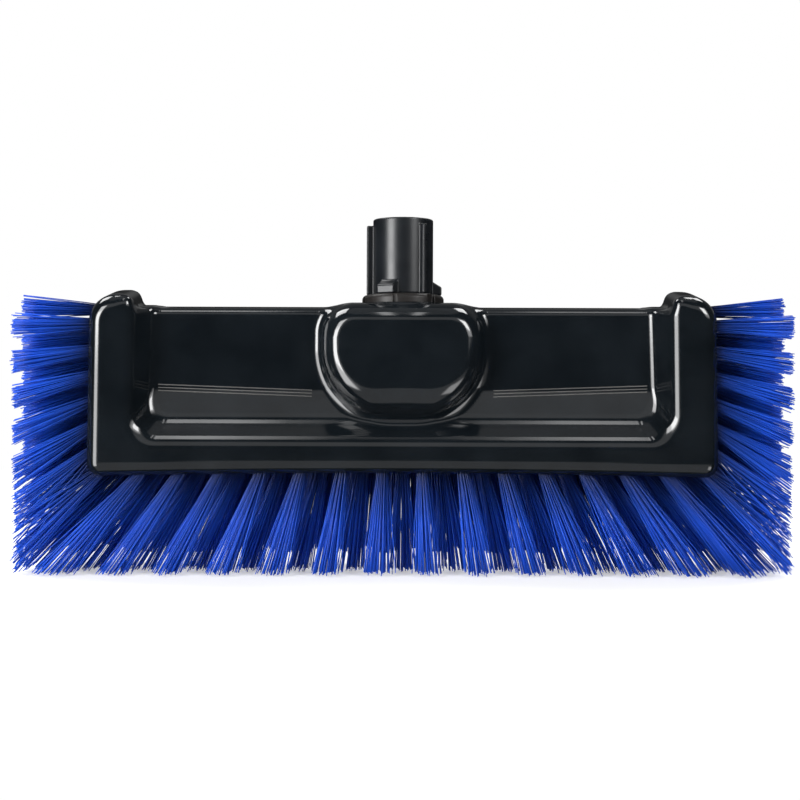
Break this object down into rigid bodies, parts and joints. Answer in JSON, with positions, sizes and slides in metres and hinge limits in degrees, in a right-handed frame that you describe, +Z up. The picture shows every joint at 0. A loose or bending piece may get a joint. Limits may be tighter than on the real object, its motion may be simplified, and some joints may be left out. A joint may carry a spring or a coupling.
{
  "type": "pool wall brush head",
  "caption": "Pool wall brush head: moulded block with bristle tufts along its bottom and both ends, and a ribbed spigot for a pole.",
  "frame": {"origin": "centre of the bounding box's bottom face, on the plane of the bottom bristle tips", "axes": "+Z up from the bristle tips to the spigot, +X along the block to the right as seen from the front, -Y out of the front; the spigot leans back towards +Y"},
  "size_m": [0.309, 0.0496, 0.1417],
  "materials": {
    "block_plastic": "polished black injection-moulded polypropylene",
    "adaptor_plastic": "black glass-filled nylon, moulded, semi-gloss",
    "collar_plastic": "black moulded plastic, slightly duller",
    "bristle": "royal blue polyester filament, slight sheen",
    "anchor_wire": "drawn stainless flat wire"
  },
  "bodies": {
    "brush_head": {"brush_block": "block_plastic", "front_tuft_bottom_01": "bristle", "front_tuft_bottom_02": "bristle", "front_tuft_bottom_03": "bristle", "front_tuft_bottom_04": "bristle", "front_tuft_bottom_05": "bristle", "front_tuft_bottom_06": "bristle", "front_tuft_bottom_07": "bristle", "front_tuft_bottom_08": "bristle", "front_tuft_bottom_09": "bristle", "front_tuft_bottom_10": "bristle", "front_tuft_bottom_11": "bristle", "front_tuft_bottom_12": "bristle", "front_tuft_bottom_13": "bristle", "front_tuft_bottom_14": "bristle", "front_tuft_bottom_15": "bristle", "front_tuft_bottom_16": "bristle", "front_tuft_left_1": "bristle", "front_tuft_left_2": "bristle", "front_tuft_left_3": "bristle", "front_tuft_left_4": "bristle", "front_tuft_left_5": "bristle", "front_tuft_left_6": "bristle", "front_tuft_right_1": "bristle", "front_tuft_right_2": "bristle", "front_tuft_right_3": "bristle", "front_tuft_right_4": "bristle", "front_tuft_right_5": "bristle", "front_tuft_right_6": "bristle", "row_1_wire_anchors": "anchor_wire", "row_2_tufts_bottom": "bristle", "row_2_tufts_left": "bristle", "row_2_tufts_right": "bristle", "row_2_wire_anchors": "anchor_wire", "row_3_tufts_bottom": "bristle", "row_3_tufts_left": "bristle", "row_3_tufts_right": "bristle", "row_3_wire_anchors": "anchor_wire", "row_4_tufts_bottom": "bristle", "row_4_tufts_left": "bristle", "row_4_tufts_right": "bristle", "row_4_wire_anchors": "anchor_wire"},
    "collar": {"collar_ring": "collar_plastic"},
    "adaptor": {"handle_adaptor": "adaptor_plastic"}
  },
  "joints": [
    {"name": "adaptor_rise", "type": "slide", "parent": "brush_head", "child": "collar", "axis": [0, 0.1392, 0.9903], "range_m": [0, 0.02032]},
    {"name": "adaptor_turn", "type": "hinge", "parent": "collar", "child": "adaptor", "pos_m": [0, 0.00263, 0.10605], "axis": [0, 0.1392, 0.9903], "range_deg": [0, 1440]}
  ],
  "couplings": [
    {"joint": "adaptor_rise", "follows": "adaptor_turn", "m_per_rad": 0.00080851}
  ]
}
